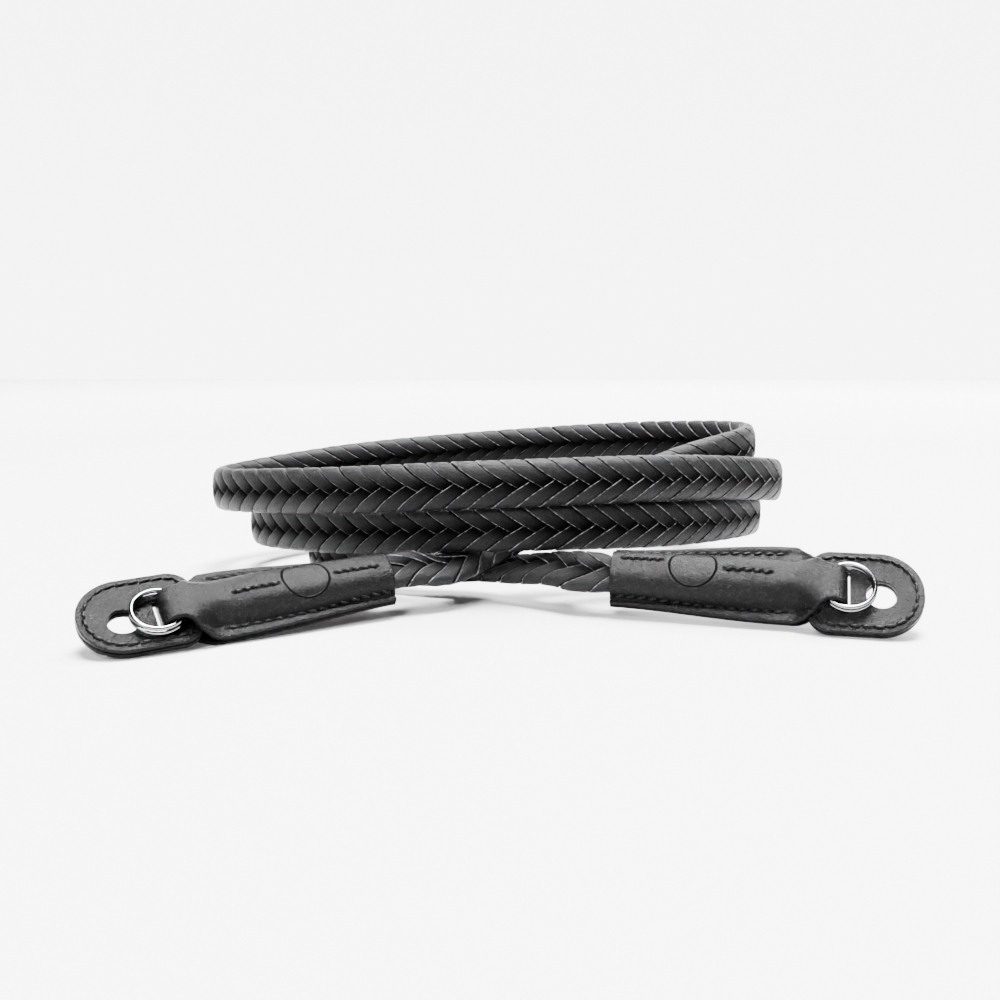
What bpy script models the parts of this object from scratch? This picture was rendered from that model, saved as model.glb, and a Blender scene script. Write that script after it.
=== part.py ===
"""Coiled braided camera strap: a flat braid in two and a half turns with a leather ring tab at each end."""

import math

import bmesh
import bpy
import numpy as np
from mathutils import Matrix, Vector

# The braid, in metres
BRAID_WIDTH = 0.0110
BRAID_THICKNESS = 0.0045
BRAID_ROUNDNESS = 2.3
BRAID_SIDES = 12
BRAID_STEP = 0.0058
BRAID_END_SHARE = 0.86
BRAID_TAIL_SHARE = 0.93
BRAID_END_TAPER = 0.007
BRAID_INSERT = 0.030

# The coil, measured on the centre line of its widest turn
COIL_LENGTH = 0.150
COIL_DEPTH = 0.0925
ROW_STEPS = 10

# The leather tabs
LEATHER = 0.0011
CLEARANCE = 0.0003
FLOOR_GAP = 0.0001
SLEEVE_LENGTH = 0.0395
SHOULDER_LENGTH = 0.0070
MOUTH_WIDTH = 0.0140
SHOULDER_WIDTH = 0.0180
TONGUE_WIDTH = 0.0084
SEAM_LIP = 0.0009
FOLD_STEPS = 8

# The flap behind the ring, two layers of leather
FLAP_LAYER = 0.0010
FLAP_WIDTH = 0.0193
FLAP_END_STRAIGHT = 0.00045
FLAP_END_ROUND = FLAP_WIDTH / 2 - FLAP_END_STRAIGHT
FLAP_INNER_ROUND = 0.0050
FLAP_INNER_OVERLAP = 0.0052
LUG_HOLE_DIAMETER = 0.0062
LUG_HOLE_WALL = 0.0032
FLAP_RIM = 0.0055
SLOT_SLIVER = 0.0005

# The split ring: its step lies inside the fold, so its wire starts at this turn in degrees
RING_DIAMETER = 0.0114
RING_WIRE = 0.0010
RING_TURN_GAP = 0.0003
RING_SLACK = 0.0007
RING_STEPS = 30
RING_START_TURN = 215.0

# Where each tab lies: place of its mouth in shares of half the coil, its turn, lean and dip in degrees,
# and how far its ring loop, lug hole and flap hang below the middle of the sleeve, in flap widths
TABS = {
    "left": {
        "side": -1, "across": -0.351, "front": -1.126, "turn": 29.5, "lean": 33.5, "dip": 2.9,
        "loop_drop": 0.088, "hole_drop": 0.075, "flap_drop": -0.018,
    },
    "right": {
        "side": 1, "across": 0.344, "front": -1.107, "turn": 14.5, "lean": 48.0, "dip": -0.1,
        "loop_drop": 0.075, "hole_drop": 0.110, "flap_drop": 0.085,
    },
}

# The route between the mouths: angle round the coil, reach in shares of half the coil,
# height of the centre line in braid widths, lean of the braid towards the inside in degrees
LEFT_TAIL = [
    (-100.7, 1.050, 0.81, 68),
    (-93.9, 0.860, 1.05, 66),
    (-82.6, 0.770, 1.56, 39),
]
TURNS = [
    (-68, 0.745, 1.85, 15),
    (-45, 0.780, 2.60, 0),
    (0, 0.885, 3.03, 0),
    (45, 0.900, 2.89, 0),
    (90, 0.967, 2.53, 0),
    (135, 0.880, 2.25, 0),
    (180, 1.000, 1.98, 0),
    (225, 0.928, 2.27, 0),
    (270, 0.998, 2.61, 0),
    (315, 0.885, 2.55, 0),
    (360, 0.985, 2.15, 0),
    (405, 0.985, 1.72, 0),
    (450, 1.000, 1.44, 0),
    (495, 0.820, 1.22, 0),
    (540, 0.868, 1.12, 0),
    (585, 0.838, 1.34, 0),
    (630, 0.950, 1.655, 0),
    (675, 0.862, 1.52, 0),
    (720, 0.910, 1.33, 0),
    (765, 0.905, 0.78, 0),
    (810, 0.890, 0.52, 0),
    (855, 0.710, 0.52, 0),
    (900, 0.660, 0.52, 0),
    (945, 0.735, 0.55, 8),
]
RIGHT_TAIL = [
    (968.8, 0.738, 0.62, 42),
    (985.7, 0.780, 0.65, 71),
    (994.2, 0.908, 0.74, 66),
    (999.6, 1.040, 0.86, 57),
]

# The sleeve's outline: share of its length, width between the mouth's 0 and the shoulder's 1
SLEEVE_ROWS = [(0.0, 0.0), (0.18, 0.10), (0.38, 0.28), (0.60, 0.62), (0.80, 0.90), (0.92, 1.0), (1.0, 1.0)]

# The shoulder: share of its length, width between the tongue's 0 and the shoulder's 1, rise to the ring
SHOULDER_ROWS = [
    (0.18, 0.95, 0.14),
    (0.38, 0.76, 0.48),
    (0.58, 0.46, 0.80),
    (0.78, 0.17, 0.96),
    (1.00, 0.00, 1.00),
]

LEATHER_COLOUR = (0.020, 0.020, 0.022, 1.0)
STEEL_COLOUR = (0.62, 0.62, 0.64, 1.0)

# Heights above a tab's back face, worked out from the layers that lie on each other
BACK_INNER = LEATHER
FLAP_BACK_FACE = BACK_INNER + CLEARANCE
FLAP_FACE = FLAP_BACK_FACE + 2 * FLAP_LAYER + CLEARANCE
RING_LOW_TURN = FLAP_FACE + CLEARANCE + RING_WIRE / 2
RING_PITCH = RING_WIRE + RING_TURN_GAP
TONGUE_INNER = RING_LOW_TURN + RING_PITCH + RING_WIRE / 2 + 1.5 * CLEARANCE
FOLD_RADIUS = (TONGUE_INNER - BACK_INNER) / 2
FOLD_CENTRE = (TONGUE_INNER + BACK_INNER) / 2
FLANGE_INNER = BACK_INNER + CLEARANCE
BRAID_END_WIDTH = BRAID_WIDTH * BRAID_END_SHARE
BRAID_END_THICKNESS = BRAID_THICKNESS * BRAID_END_SHARE
BRAID_END_HEIGHT = BACK_INNER + CLEARANCE + BRAID_END_THICKNESS / 2
DOME_HEIGHT = BRAID_END_THICKNESS + 2.2 * CLEARANCE
DOME_HALF = BRAID_END_WIDTH / 2 + CLEARANCE + SEAM_LIP

# Places along a tab, measured from its mouth
FOLD_START = SLEEVE_LENGTH + SHOULDER_LENGTH
RING_PLACE = FOLD_START + FOLD_RADIUS + 0.5 * LEATHER + RING_SLACK
SLOT_START = FOLD_START + math.sqrt(FOLD_RADIUS**2 - (FOLD_CENTRE - FLAP_BACK_FACE) ** 2) - 1.5 * CLEARANCE
SLOT_END = FOLD_START + FOLD_RADIUS + LEATHER + SLOT_SLIVER
LUG_HOLE_PLACE = SLOT_END + LUG_HOLE_WALL + LUG_HOLE_DIAMETER / 2
FLAP_START = SLOT_START - FLAP_INNER_OVERLAP
FLAP_END = LUG_HOLE_PLACE + LUG_HOLE_DIAMETER / 2 + FLAP_RIM


def clear_scene():
    """Removes whatever the scene holds."""
    for thing in list(bpy.data.objects):
        bpy.data.objects.remove(thing)


def new_collection(name):
    """A collection linked to the scene."""
    collection = bpy.data.collections.new(name)
    bpy.context.scene.collection.children.link(collection)
    return collection


def new_material(name, colour, roughness, metallic):
    """A plain Principled BSDF material."""
    material = bpy.data.materials.new(name)
    material.use_nodes = True
    shader = material.node_tree.nodes["Principled BSDF"]
    shader.inputs["Base Color"].default_value = colour
    shader.inputs["Roughness"].default_value = roughness
    shader.inputs["Metallic"].default_value = metallic
    return material


def smooth_rows(rows, steps):
    """Rows of numbers joined by smooth cubic stretches, with steps points in each."""
    rows = np.array(rows, float)
    along = np.concatenate([[0.0], np.cumsum(np.linalg.norm(np.diff(rows[:, :3], axis=0), axis=1))])
    slopes = np.diff(rows, axis=0) / np.diff(along)[:, None]
    weights = (np.diff(along)[1:] / (along[2:] - along[:-2]))[:, None]
    middle = slopes[:-1] * weights + slopes[1:] * (1 - weights)
    tangents = np.vstack([slopes[:1], middle, slopes[-1:]])
    points = []
    for index, gap in enumerate(np.diff(along)):
        here, there = rows[index], rows[index + 1]
        leave, arrive = gap * tangents[index], gap * tangents[index + 1]
        for share in np.linspace(0, 1, steps, endpoint=False):
            blend = share * share * (3 - 2 * share)
            rise = share * (1 - share) ** 2
            fall = share * share * (1 - share)
            points.append(here + (there - here) * blend + leave * rise - arrive * fall)
    points.append(rows[-1])
    return np.array(points)


def even_points(rows, step):
    """Points along a smooth line, about one step apart."""
    gaps = np.linalg.norm(np.diff(rows[:, :3], axis=0), axis=1)
    along = np.concatenate([[0.0], np.cumsum(gaps)])
    places = np.linspace(0, along[-1], int(round(along[-1] / step)) + 1)
    return np.array([[np.interp(place, along, column) for column in rows.T] for place in places])


def tab_matrix(tab):
    """A tab's frame: x runs from the mouth to the flap, y up the leaning tab, z out of its face."""
    side = tab["side"]
    turn = math.radians(tab["turn"])
    lean = math.radians(tab["lean"])
    dip = math.radians(tab["dip"])
    along = Vector((side * math.cos(turn) * math.cos(dip), -math.sin(turn) * math.cos(dip), -math.sin(dip)))
    level = Vector((side * math.sin(turn), math.cos(turn), 0.0))
    upright = Vector(along.cross(level) * side).normalized()
    across = level * math.cos(lean) + upright * math.sin(lean)
    face = upright * math.cos(lean) - level * math.sin(lean)
    hang = FLAP_WIDTH * (0.5 + tab["flap_drop"])
    low = along.z * LUG_HOLE_PLACE - across.z * hang + face.z * FLAP_BACK_FACE
    place = Vector((tab["across"] * COIL_LENGTH / 2, tab["front"] * COIL_DEPTH / 2, FLOOR_GAP - low))
    columns = [along.to_4d(), across.to_4d(), face.to_4d(), place.to_4d()]
    matrix = Matrix(columns).transposed()
    matrix[3] = (0.0, 0.0, 0.0, 1.0)
    return matrix


def route_row(angle, reach, level, lean, share):
    """A point of the route, with its lean and its size share."""
    turn = math.radians(angle)
    across = reach * COIL_LENGTH / 2 * math.cos(turn)
    depth = reach * COIL_DEPTH / 2 * math.sin(turn)
    return [across, depth, level * BRAID_WIDTH, lean, share]


def end_rows(tab, places):
    """Points of the route on a tab's own line, where the braid is squeezed inside the sleeve."""
    matrix = tab_matrix(tab)
    rows = []
    for place in places:
        point = matrix @ Vector((place, 0.0, BRAID_END_HEIGHT))
        share = BRAID_END_SHARE if place >= 0 else BRAID_TAIL_SHARE
        rows.append([*point, 90.0 - tab["lean"], share])
    return rows


def braid_route():
    """The whole centre line from inside the left sleeve to inside the right one."""
    places = [BRAID_INSERT, BRAID_INSERT / 2, 0.0, -BRAID_END_TAPER]
    start = end_rows(TABS["left"], places)
    finish = end_rows(TABS["right"], places[::-1])
    start += [route_row(*row, BRAID_TAIL_SHARE) for row in LEFT_TAIL]
    middle = [route_row(*row, 1.0) for row in TURNS]
    finish = [route_row(*row, BRAID_TAIL_SHARE) for row in RIGHT_TAIL] + finish
    return even_points(smooth_rows(start + middle + finish, ROW_STEPS), BRAID_STEP)


def braid_section(collection):
    """The flat oval that the braid's solid follows."""
    curve = bpy.data.curves.new("braid_section", "CURVE")
    curve.dimensions = "2D"
    spline = curve.splines.new("POLY")
    spline.points.add(BRAID_SIDES - 1)
    spline.use_cyclic_u = True
    power = 2 / BRAID_ROUNDNESS
    for index, point in enumerate(spline.points):
        angle = -2 * math.pi * index / BRAID_SIDES
        flat = math.copysign(abs(math.cos(angle)) ** power, math.cos(angle)) * BRAID_THICKNESS / 2
        tall = math.copysign(abs(math.sin(angle)) ** power, math.sin(angle)) * BRAID_WIDTH / 2
        point.co = (flat, tall, 0.0, 1.0)
    section = bpy.data.objects.new("braid_section", curve)
    section.hide_render = True
    section.display_type = "WIRE"
    collection.objects.link(section)
    return section


def build_braid(collection, section, material):
    """The coiled strap itself, one solid."""
    curve = bpy.data.curves.new("braided_strap", "CURVE")
    curve.dimensions = "3D"
    curve.twist_mode = "Z_UP"
    curve.bevel_mode = "OBJECT"
    curve.bevel_object = section
    curve.use_fill_caps = True
    rows = braid_route()
    spline = curve.splines.new("POLY")
    spline.points.add(len(rows) - 1)
    for point, (across, depth, height, lean, share) in zip(spline.points, rows):
        point.co = (across, depth, height, 1.0)
        point.tilt = -math.radians(lean)
        point.radius = share
    strap = bpy.data.objects.new("braided_strap", curve)
    curve.materials.append(material)
    collection.objects.link(strap)
    return strap


def dome(across):
    """Height of the front panel's inner face over the seam, across the braid end that it covers."""
    share = min(abs(across) / DOME_HALF, 1.0)
    return DOME_HEIGHT * (1 - share**3.5) ** 0.8


def sleeve_columns(half):
    """Places across a row of the sleeve, closer together on the sides of the bulge."""
    foot = min(DOME_HALF, 0.92 * half)
    inner = [0.0, 0.32 * foot, 0.62 * foot, 0.86 * foot, foot, half]
    return [-place for place in inner[:0:-1]] + inner


def sleeve_rows(loop_drop):
    """Rows of the folded sleeve's inner face: out along the front, round the ring, back along the rear."""
    outline = []
    for share, width in SLEEVE_ROWS:
        half = (MOUTH_WIDTH + (SHOULDER_WIDTH - MOUTH_WIDTH) * width) / 2
        outline.append((share * SLEEVE_LENGTH, half, 0.0, 0.0))
    for share, width, rise in SHOULDER_ROWS:
        half = (TONGUE_WIDTH + (SHOULDER_WIDTH - TONGUE_WIDTH) * width) / 2
        outline.append((SLEEVE_LENGTH + share * SHOULDER_LENGTH, half, rise, (1 - width) * loop_drop))
    rows = []
    tongue_rise = TONGUE_INNER - FLANGE_INNER
    for along, half, rise, drop in outline:
        row = []
        for across in sleeve_columns(half):
            height = FLANGE_INNER + (1 - rise) * dome(across) + rise * tongue_rise
            row.append((along, across - drop, height))
        rows.append(row)
    for step in range(1, FOLD_STEPS):
        angle = math.pi * (0.5 - step / FOLD_STEPS)
        along = FOLD_START + FOLD_RADIUS * math.cos(angle)
        height = FOLD_CENTRE + FOLD_RADIUS * math.sin(angle)
        rows.append([(along, across - loop_drop, height) for across in sleeve_columns(TONGUE_WIDTH / 2)])
    for along, half, rise, drop in reversed(outline):
        rows.append([(along, across - drop, BACK_INNER) for across in sleeve_columns(half)])
    return rows


def build_sleeve(name, tab, matrix, collection, material):
    """The leather folded over the braid end and round the ring, sewn along both edges."""
    mesh = bpy.data.meshes.new(name)
    body = bmesh.new()
    loop_drop = tab["loop_drop"] * FLAP_WIDTH
    rows = [[body.verts.new(point) for point in row] for row in sleeve_rows(loop_drop)]
    for near, far in zip(rows, rows[1:]):
        for index in range(len(near) - 1):
            body.faces.new((near[index], near[index + 1], far[index + 1], far[index]))
    bmesh.ops.recalc_face_normals(body, faces=body.faces)
    body.to_mesh(mesh)
    body.free()
    sleeve = bpy.data.objects.new(name, mesh)
    collection.objects.link(sleeve)
    sleeve.matrix_world = matrix
    wall = sleeve.modifiers.new("wall", "SOLIDIFY")
    wall.thickness = LEATHER
    wall.offset = 1.0
    wall.use_even_offset = True
    mesh.materials.append(material)
    mesh.shade_smooth()
    return sleeve


def arc(centre, radius, start, stop, steps):
    """Points on an arc, angles in degrees."""
    angles = [math.radians(start + (stop - start) * step / steps) for step in range(steps + 1)]
    return [(centre[0] + radius * math.cos(a), centre[1] + radius * math.sin(a)) for a in angles]


def shifted(points, drop):
    """Points moved towards the lower edge of a tab, by a share of the flap's width."""
    return [(along, across - drop * FLAP_WIDTH) for along, across in points]


def flap_outline():
    """The flap's edge, rounder at its outer end."""
    half = FLAP_WIDTH / 2
    outer = FLAP_END - FLAP_END_ROUND
    inner = FLAP_START + FLAP_INNER_ROUND
    points = arc((outer, half - FLAP_END_ROUND), FLAP_END_ROUND, 0, 90, 10)
    points += arc((inner, half - FLAP_INNER_ROUND), FLAP_INNER_ROUND, 90, 180, 7)
    points += arc((inner, FLAP_INNER_ROUND - half), FLAP_INNER_ROUND, 180, 270, 7)
    points += arc((outer, FLAP_END_ROUND - half), FLAP_END_ROUND, 270, 360, 10)
    return points


def slot_outline():
    """The slot that the tongue goes down through."""
    half = TONGUE_WIDTH / 2 + CLEARANCE
    return [(SLOT_START, -half), (SLOT_START, half), (SLOT_END, half), (SLOT_END, -half)]


def build_flap_layer(name, tab, matrix, height, collection, material):
    """One leather layer of the flap, cut out with its lug hole and its slot."""
    curve = bpy.data.curves.new(name, "CURVE")
    curve.dimensions = "2D"
    curve.fill_mode = "BOTH"
    curve.extrude = FLAP_LAYER / 2
    edge = shifted(flap_outline(), tab["flap_drop"])
    hole = shifted(arc((LUG_HOLE_PLACE, 0.0), LUG_HOLE_DIAMETER / 2, 0, 345, 23), tab["hole_drop"])
    slot = shifted(slot_outline(), tab["loop_drop"])
    for outline in (edge, hole, slot):
        spline = curve.splines.new("POLY")
        spline.points.add(len(outline) - 1)
        spline.use_cyclic_u = True
        for point, (along, across) in zip(spline.points, outline):
            point.co = (along, across, 0.0, 1.0)
    curve.materials.append(material)
    layer = bpy.data.objects.new(name, curve)
    collection.objects.link(layer)
    layer.matrix_world = matrix @ Matrix.Translation((0.0, 0.0, height))
    return layer


def build_ring(name, tab, matrix, collection, material):
    """A split ring: one wire in two flat turns, with its step from one turn to the other."""
    step_start, step_stop, last = 300.0, 352.0, 646.0
    angles = np.linspace(0, last, int(RING_STEPS * last / 360))
    curve = bpy.data.curves.new(name, "CURVE")
    curve.dimensions = "3D"
    curve.bevel_depth = RING_WIRE / 2
    curve.bevel_resolution = 2
    curve.use_fill_caps = True
    spline = curve.splines.new("POLY")
    spline.points.add(len(angles) - 1)
    radius = (RING_DIAMETER - RING_WIRE) / 2
    for point, angle in zip(spline.points, angles):
        share = min(max((angle - step_start) / (step_stop - step_start), 0.0), 1.0)
        height = RING_LOW_TURN + RING_PITCH * share * share * (3 - 2 * share)
        turn = math.radians(angle + RING_START_TURN)
        across = radius * math.sin(turn) - tab["loop_drop"] * FLAP_WIDTH
        point.co = (RING_PLACE + radius * math.cos(turn), across, height, 1.0)
    curve.materials.append(material)
    ring = bpy.data.objects.new(name, curve)
    collection.objects.link(ring)
    ring.matrix_world = matrix
    return ring


def stand_on_floor(objects):
    """Moves the whole strap so that its box stands on z = 0 with its middle over the origin."""
    bpy.context.view_layer.update()
    graph = bpy.context.evaluated_depsgraph_get()
    corners = []
    for thing in objects:
        mesh = bpy.data.meshes.new_from_object(thing.evaluated_get(graph))
        corners += [thing.matrix_world @ vertex.co for vertex in mesh.vertices]
        bpy.data.meshes.remove(mesh)
    low = [min(corner[axis] for corner in corners) for axis in range(3)]
    high = [max(corner[axis] for corner in corners) for axis in range(3)]
    shift = Vector((-(low[0] + high[0]) / 2, -(low[1] + high[1]) / 2, -low[2]))
    for thing in objects:
        thing.matrix_world = Matrix.Translation(shift) @ thing.matrix_world
    bpy.context.view_layer.update()


def build():
    """Makes every piece of the strap."""
    clear_scene()
    strap_pieces = new_collection("coiled_braided_camera_strap")
    guides = new_collection("guides")
    leather = new_material("black_leather", LEATHER_COLOUR, 0.45, 0.0)
    steel = new_material("polished_steel", STEEL_COLOUR, 0.18, 1.0)
    pieces = [build_braid(strap_pieces, braid_section(guides), leather)]
    for side, tab in TABS.items():
        matrix = tab_matrix(tab)
        back_height = FLAP_BACK_FACE + FLAP_LAYER / 2
        front_height = FLAP_FACE - FLAP_LAYER / 2
        pieces.append(build_sleeve(f"sleeve_{side}", tab, matrix, strap_pieces, leather))
        pieces.append(build_flap_layer(f"flap_back_{side}", tab, matrix, back_height, strap_pieces, leather))
        pieces.append(build_flap_layer(f"flap_face_{side}", tab, matrix, front_height, strap_pieces, leather))
        pieces.append(build_ring(f"split_ring_{side}", tab, matrix, strap_pieces, steel))
    stand_on_floor(pieces)


build()
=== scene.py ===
"""The coiled braided camera strap, dressed: laid strands, sewn leather, polished rings, and a studio."""

import math

import bpy
import numpy as np
from mathutils import Matrix, Vector


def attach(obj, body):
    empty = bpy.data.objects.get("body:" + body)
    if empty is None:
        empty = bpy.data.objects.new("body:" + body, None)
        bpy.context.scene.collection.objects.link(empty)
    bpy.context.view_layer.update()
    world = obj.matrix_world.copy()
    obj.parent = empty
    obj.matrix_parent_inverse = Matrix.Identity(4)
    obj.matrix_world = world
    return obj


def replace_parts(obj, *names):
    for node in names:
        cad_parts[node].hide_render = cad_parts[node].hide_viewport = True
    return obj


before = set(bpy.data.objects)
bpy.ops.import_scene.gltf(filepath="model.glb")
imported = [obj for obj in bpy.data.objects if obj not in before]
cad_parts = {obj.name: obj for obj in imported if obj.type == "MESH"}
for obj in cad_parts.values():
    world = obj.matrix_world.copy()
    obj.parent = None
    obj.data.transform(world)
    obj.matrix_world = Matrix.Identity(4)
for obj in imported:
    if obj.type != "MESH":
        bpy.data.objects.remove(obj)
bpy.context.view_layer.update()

# Sizes that the scene shares with the part, in metres
BRAID_WIDTH = 0.0110
BRAID_THICKNESS = 0.0045
BRAID_ROUNDNESS = 2.5
BRAID_END_SHARE = 0.86
BRAID_TAIL_SHARE = 0.93
BRAID_END_TAPER = 0.007
BRAID_INSERT = 0.030
ROUTE_STEPS = 30
ROUTE_STEP = 0.001
COIL_LENGTH = 0.150
COIL_DEPTH = 0.0925
COIL_MIDDLE = (-0.002346, 0.020507, 0.0)
LEATHER = 0.0011
CLEARANCE = 0.0003
FLOOR_GAP = 0.0001
SLEEVE_LENGTH = 0.0395
SHOULDER_LENGTH = 0.0070
MOUTH_WIDTH = 0.0140
SHOULDER_WIDTH = 0.0180
TONGUE_WIDTH = 0.0084
FLAP_LAYER = 0.0010
FLAP_WIDTH = 0.0193
FLAP_END_STRAIGHT = 0.00045
FLAP_END_ROUND = FLAP_WIDTH / 2 - FLAP_END_STRAIGHT
FLAP_INNER_ROUND = 0.0050
FLAP_INNER_OVERLAP = 0.0052
LUG_HOLE_DIAMETER = 0.0062
LUG_HOLE_WALL = 0.0032
FLAP_RIM = 0.0055
SLOT_SLIVER = 0.0005
RING_DIAMETER = 0.0114
RING_WIRE = 0.0010
RING_TURN_GAP = 0.0003
RING_SLACK = 0.0007
RING_START_TURN = 215.0
RING_TURNING = 646
RING_STEP_UP = (300.0, 352.0)
RING_POINTS = 260
LUG_HOLE_SIDES = 60

TABS = {
    "left": {
        "side": -1, "across": -0.351, "front": -1.126, "turn": 29.5, "lean": 33.5, "dip": 2.9,
        "loop_drop": 0.088, "hole_drop": 0.075, "flap_drop": -0.018,
    },
    "right": {
        "side": 1, "across": 0.344, "front": -1.107, "turn": 14.5, "lean": 48.0, "dip": -0.1,
        "loop_drop": 0.075, "hole_drop": 0.110, "flap_drop": 0.085,
    },
}

# The route of the braid, as in the part: angle, reach, level in braid widths, lean in degrees
LEFT_TAIL = [
    (-100.7, 1.050, 0.81, 68),
    (-93.9, 0.860, 1.05, 66),
    (-82.6, 0.770, 1.56, 39),
]
TURNS = [
    (-68, 0.745, 1.85, 15),
    (-45, 0.780, 2.60, 0),
    (0, 0.885, 3.03, 0),
    (45, 0.900, 2.89, 0),
    (90, 0.967, 2.53, 0),
    (135, 0.880, 2.25, 0),
    (180, 1.000, 1.98, 0),
    (225, 0.928, 2.27, 0),
    (270, 0.998, 2.61, 0),
    (315, 0.885, 2.55, 0),
    (360, 0.985, 2.15, 0),
    (405, 0.985, 1.72, 0),
    (450, 1.000, 1.44, 0),
    (495, 0.820, 1.22, 0),
    (540, 0.868, 1.12, 0),
    (585, 0.838, 1.34, 0),
    (630, 0.950, 1.655, 0),
    (675, 0.862, 1.52, 0),
    (720, 0.910, 1.33, 0),
    (765, 0.905, 0.78, 0),
    (810, 0.890, 0.52, 0),
    (855, 0.710, 0.52, 0),
    (900, 0.660, 0.52, 0),
    (945, 0.735, 0.55, 8),
]
RIGHT_TAIL = [
    (968.8, 0.738, 0.62, 42),
    (985.7, 0.780, 0.65, 71),
    (994.2, 0.908, 0.74, 66),
    (999.6, 1.040, 0.86, 57),
]

# The laid strands of the braid: how far apart, how slanted and curved they lie, and how they dive
STRAND_PITCH = 0.0056
STRAND_SLANT = 1.38
STRAND_CURVE = 1.45
STRAND_PLUNGE = 0.0009
PLUNGE_LENGTH = 0.0009
STRANDS_HIDDEN = 0.010
CORE_INSET = 0.0011
# Shares of the way along a strand where its rows of points lie, closest together at its two dives
STRAND_STEPS = np.concatenate(
    [[-0.075, -0.035, 0.0, 0.02], np.linspace(0.04, 0.96, 11), [0.98, 1.0, 1.035, 1.075]]
)
# Across a strand: share of its pitch, height in millimetres over the braid's surface
STRAND_SHAPE = [
    (-0.485, -0.70), (-0.485, -0.25), (-0.475, -0.06), (-0.455, 0.06), (-0.425, 0.09), (-0.15, 0.12),
    (0.15, 0.08), (0.35, 0.02), (0.43, -0.06), (0.465, -0.18), (0.475, -0.32), (0.475, -0.70),
]
STRAND_ACROSS = np.array([place for place, _ in STRAND_SHAPE])
STRAND_HEIGHT = np.array([rise for _, rise in STRAND_SHAPE]) / 1000
# Painted highlight along the raised cut edge of a strand, for the same places across it
STRAND_PAINTED_HIGHLIGHT = [0.0, 0.0, 0.3, 1.0, 0.0, 0.0, 0.0, 0.0, 0.0, 0.0, 0.0, 0.0]
# How far strands wander along the braid, how dark the painted shade at their dives is, and how much the
# strands' tones differ
STRAND_WANDER = (0.00012, 0.00008)
DIVE_SHADE = 1.15
DIVE_FALL = 3.2
TONE_SPREAD = 0.20

# Stitches: their thread, number, the share of each that is gap, how far each lies askew, and their holes
THREAD = 0.00052
SEAM_THREAD = THREAD * 0.58
SEAM_STITCHES = 15
SEAM_PLACES = np.linspace(0.0009, 0.0376, SEAM_STITCHES + 1)
SEAM_GAP = 0.09
SEAM_SLANT = 0.00014
SEAM_HOLE = 0.00034
ROW_THREAD = THREAD * 0.74
ROW_STITCHES = 5
ROW_GAP = 0.08
ROW_SLANT = 0.00030
ROW_HOLE = 0.00050
BORDER_THREAD = THREAD * 0.64
BORDER_INSET = 0.0015
BORDER_PITCH = 0.0024
BORDER_SLANT = 0.00017
BORDER_LIFT = 0.00004
THREAD_SUNK = 0.00012
# How finely a stitch is drawn, and the short steps that find its leather's slope and its line's way
STITCH_STEPS = 10
STITCH_SIDES = 8
SLOPE_STEP = 0.0003
LINE_STEP = 0.0002
# Insets of the side seams from the leather's edge: at the mouth, at the upper and at the lower shoulder
SEAM_INSETS = (0.0013, 0.0015, 0.0023)

# Grooves and pressed marks in the sleeve's leather: depths and widths, and the painted shade along the
# seams' grooves
GROOVE_DEPTH = 0.00022
GROOVE_WIDTH = 0.00045
GROOVE_SHADE = 0.75
GROOVE_SHADE_WIDTH = 0.00042
GROOVE_STOP = 0.0385
ROW_GROOVE_DEPTH = 0.00026
ROW_GROOVE_WIDTH = 0.0006
ROW_GROOVE_END = 0.0004
PRESSED_RADIUS = 0.0051
PRESSED_LINE_DEPTH = 0.00016
PRESSED_LINE_WIDTH = 0.00030
PRESSED_LIP = 0.00008
PRESSED_LIP_PLACE = 0.00060
PRESSED_DISC_DEPTH = 0.00010
PRESSED_DISC_EDGE = 0.0006
UNEVENNESS = 0.00003

# Edges and folds of the leather, the painted shade on its cut edges and inner face, and how finely its
# sheet is drawn
EDGE_ROUND = 0.0005
EDGE_SINK = EDGE_ROUND * 0.6
EDGE_MIDDLE = 0.35
EDGE_SHADE = 0.6
INSIDE_SHADE = 0.8
FLAP_SOFT_EDGE = 0.00024
FOLD_POWER = 0.74
FRONT_STEP = 0.00025
BACK_STEP = 0.0012
FOLD_STEPS = 20
SHEET_COLUMNS = 89
SHEET_CROWDING = 1.3
ARC_STEPS = 24

# Short rows of stitches on each sleeve: where each starts and stops along it, and how far across it lies
ROWS = {
    "left": [(0.0030, 0.0130, -0.0007), (0.0257, 0.0352, -0.0010)],
    "right": [(0.0023, 0.0112, 0.0021), (0.0247, 0.0347, 0.0005)],
}
# The middle of the pressed ring on each sleeve
PRESSED = {"left": (0.0194, -0.0003), "right": (0.0179, 0.0010)}

# Heights and places along a tab, as in the part
FLANGE_GAP = 0.00005
DOME_MARGIN = 0.0014
BACK_INNER = LEATHER
FLAP_BACK_FACE = BACK_INNER + CLEARANCE
FLAP_FACE = FLAP_BACK_FACE + 2 * FLAP_LAYER + CLEARANCE
RING_LOW_TURN = FLAP_FACE + CLEARANCE + RING_WIRE / 2
RING_PITCH = RING_WIRE + RING_TURN_GAP
TONGUE_INNER = RING_LOW_TURN + RING_PITCH + RING_WIRE / 2 + 1.5 * CLEARANCE
FOLD_RADIUS = (TONGUE_INNER - BACK_INNER) / 2
FOLD_CENTRE = (TONGUE_INNER + BACK_INNER) / 2
FLANGE_FACE = 2 * LEATHER + FLANGE_GAP
BRAID_END_WIDTH = BRAID_WIDTH * BRAID_END_SHARE
BRAID_END_THICKNESS = BRAID_THICKNESS * BRAID_END_SHARE
BRAID_END_HEIGHT = BACK_INNER + CLEARANCE + BRAID_END_THICKNESS / 2
DOME_RISE = BRAID_END_THICKNESS + 3 * CLEARANCE
DOME_HALF = BRAID_END_WIDTH / 2 + DOME_MARGIN
DOME_FULLNESS = 3.1
DOME_FALL = 0.92
FOLD_START = SLEEVE_LENGTH + SHOULDER_LENGTH
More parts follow.
